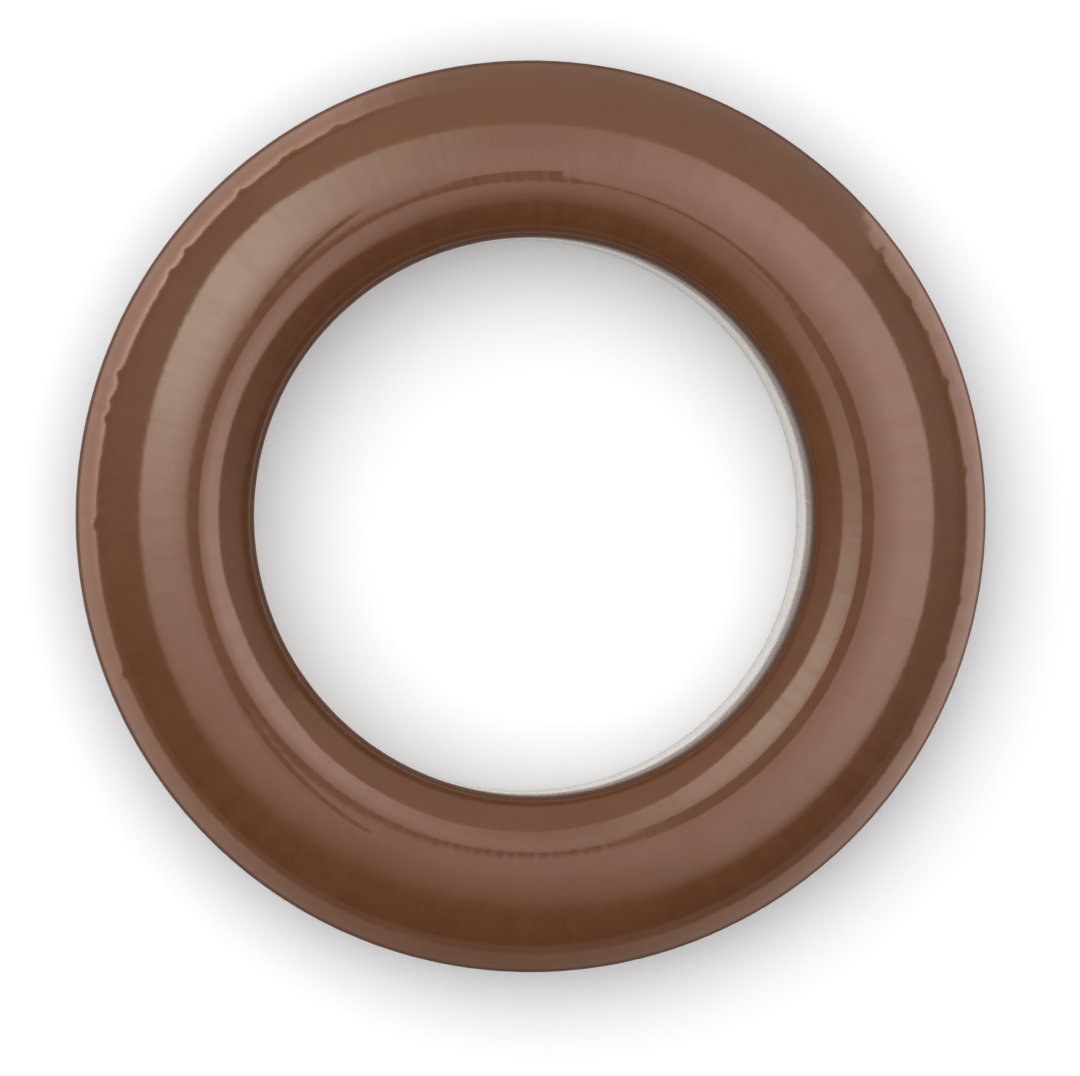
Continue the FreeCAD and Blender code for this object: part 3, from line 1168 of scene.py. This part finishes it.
@dataclass(frozen=True)
class Studio:
    """The light: one soft overhead panel with a camera in it, a dim room and a brown card behind.

    Matt surfaces are lit by the panel's bright middle alone; the gloss shows the whole of it.
    """

    panel: Colour = (1.46, 1.35, 1.27)
    left_lobe: Lobe = Lobe(143.0, 4.5, (-0.05, 0.62))
    left_light: Colour = (2.30, 2.85, 2.48)
    right_lobe: Lobe = Lobe(22.0, 1.0, (0.08, 0.7))
    right_light: Colour = (1.32, 1.30, 1.29)
    top_lobe: Lobe = Lobe(84.0, 12.0, (0.15, 0.7))
    top_dip: float = 0.38
    near_lobe: Lobe = Lobe(261.0, 3.3)
    near_slope: float = 0.75
    near_dip: Pair = (0.08, 0.93)
    top_side: Pair = (81.0, 1.12)
    top_blur: float = 0.025
    left_side: Pair = (187.0, 1.09)
    left_blur: float = 0.08
    right_reach: Pair = (1.69, 1.57)
    near_centre: Pair = (0.25, 0.45)
    near_reach: Pair = (2.0, 1.27)
    near_side: Pair = (0.6, 0.15)
    panel_rise: Pair = (0.05, 0.1)
    camera: CameraShade = CameraShade()
    middle: float = 5.72
    middle_centre: Pair = (-0.12, 0.09)
    middle_reach: Pair = (0.95, 0.10)
    side_lobe: Lobe = Lobe(135.0, 1.0, (0.5, 1.5))
    side_light: float = 0.80
    fill: float = 0.055
    fill_rise: Pair = (0.0, 0.03)
    bounce_loss: float = 0.5
    backdrop: Colour = (1.0, 1.0, 1.0)
    dark: Colour = (0.0, 0.0, 0.0)
    room: Colour = (0.50, 0.50, 0.47)
    room_degrees: float = 82.0
    room_side: Pair = (-0.75, 0.35)
    room_low: float = 0.8
    room_rise: Pair = (0.0, 0.3)
    card: Colour = (0.78, 0.68, 0.58)
    card_degrees: Pair = (34.0, 127.5)
    card_blurs: Pair = (0.01, 0.012)

    def build(self) -> None:
        """Makes the world."""
        world = bpy.data.worlds.new("studio")
        world.use_nodes = True
        graph = Graph(world.node_tree)
        sight = Sight(graph)
        kept = 1.0 - graph.ray(Ray.BOUNCES).at_most(1.0) * self.bounce_loss
        level = self.soft_light(sight) * kept
        glow = graph.scaled(self.panel_light(sight), self.camera.kept(sight))
        seen = graph.mix(self.panel_shape(sight), self.surroundings(sight), glow)
        soft = graph.background(graph.vector(level, level, level))
        mirrored = graph.background(graph.scaled(seen, kept))
        plain = graph.background(self.backdrop)
        light = graph.blend(graph.ray(Ray.MIRRORED), soft, mirrored)
        light = graph.blend(graph.ray(Ray.FROM_CAMERA), light, plain)
        graph.node("ShaderNodeOutputWorld", {}, {"Surface": light})
        bpy.context.scene.world = world

    def soft_light(self, sight: Sight) -> Value:
        """What lights the matt surfaces: the panel's bright middle and a weak light from aside.

        Args:
            sight: the direction.

        Returns:
            The brightness.
        """
        reach = sight.from_point(*self.middle_centre)
        middle = reach.step(*self.middle_reach) * self.middle
        aside = self.side_lobe.share(sight) * self.side_light
        return (middle + aside + self.fill) * sight.z.step(*self.fill_rise)

    def panel_light(self, sight: Sight) -> Value:
        """The panel, before its edges are cut.

        Args:
            sight: the direction.

        Returns:
            The colour.
        """
        graph = sight.graph
        left = graph.scaled(self.left_light, self.left_lobe.share(sight))
        right = graph.scaled(self.right_light, self.right_lobe.share(sight))
        glow = graph.added(graph.added(self.panel, left), right)
        least, most = self.near_dip
        near = self.near_lobe.share(sight)
        near = near * (sight.distance * self.near_slope + least).at_most(most)
        return graph.scaled(glow, (1.0 - near) * (1.0 - self.top_lobe.share(sight) * self.top_dip))

    def panel_shape(self, sight: Sight) -> Value:
        """The panel's outline; its near side fades, the others are crisp.

        Args:
            sight: the direction.

        Returns:
            1 inside the panel, 0 outside.
        """
        top = sight.beyond(*self.top_side).step(self.top_blur, -self.top_blur)
        left = sight.beyond(*self.left_side).step(self.left_blur, -self.left_blur)
        right = sight.distance.step(*self.right_reach)
        fade = sight.from_point(*self.near_centre).step(*self.near_reach)
        keep = sight.beyond(self.near_lobe.degrees, 0.0).step(*self.near_side)
        near = fade.at_least(keep)
        return top * left * right * near * sight.z.step(*self.panel_rise)

    def surroundings(self, sight: Sight) -> Value:
        """The dim room, lighter behind the part, and the upright card.

        Args:
            sight: the direction.

        Returns:
            The colour.
        """
        graph = sight.graph
        height = sight.z.step(*self.room_rise) * (1.0 - self.room_low) + self.room_low
        lit = sight.facing(self.room_degrees).step(*self.room_side) * height
        room = graph.mix(lit, self.dark, self.room)
        azimuth = sight.y.arctan2(sight.x)
        first, last = (math.radians(degrees) for degrees in self.card_degrees)
        rise, fall = self.card_blurs
        card = azimuth.step(first - rise, first + rise)
        card = card * azimuth.step(last + fall, last - fall)
        return graph.mix(card, room, self.card)


@dataclass(frozen=True)
class Viewpoint:
    """The camera: almost straight above, a little to the left, so the right bore wall shows."""

    sizes: SheetSizes
    distance: float = 260.0 * MM
    lean_left: float = 3.56
    lean_up: float = 0.5
    ring_centre: Pair = (531.8, 516.5)
    ring_radius: float = 455.0
    sensor: float = 36.0
    clip: Pair = (0.01, 4.0)

    def build(self) -> None:
        """Makes the camera and gives it to the scene."""
        pixels = self.ring_radius / self.sizes.rim_radius
        aside = (PICTURE_WIDTH / 2 - self.ring_centre[0]) / pixels
        below = (self.ring_centre[1] - PICTURE_HEIGHT / 2) / pixels
        level = self.sizes.seat_height + self.sizes.rim_edge
        target = Vector((aside, below, level))
        left, up = (math.tan(math.radians(lean)) for lean in (self.lean_left, self.lean_up))
        back = Vector((-left, up, 1.0)).normalized()
        right = Vector((0.0, 1.0, 0.0)).cross(back).normalized()
        turn = Matrix((right, back.cross(right), back)).transposed()
        data = bpy.data.cameras.new("camera")
        data.sensor_width = self.sensor
        data.lens = self.sensor * self.distance * pixels / PICTURE_WIDTH
        data.clip_start, data.clip_end = self.clip
        camera = placed("camera", data)
        camera.matrix_world = Matrix.Translation(target + back * self.distance) @ turn.to_4x4()
        bpy.context.scene.camera = camera


def main() -> None:
    """Builds the eyelet and its studio, and reports each piece."""
    logging.basicConfig(level=logging.INFO, format="%(name)s: %(message)s")
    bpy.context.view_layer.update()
    bpy.context.scene.view_settings.view_transform = "Standard"
    sizes = SheetSizes.from_frame()
    for piece in Eyelet(sizes).build():
        log.info("%s: %d faces", piece.name, len(piece.data.polygons))
    Table().build()
    Studio().build()
    Viewpoint(sizes).build()


if __name__ == "__main__":
    main()
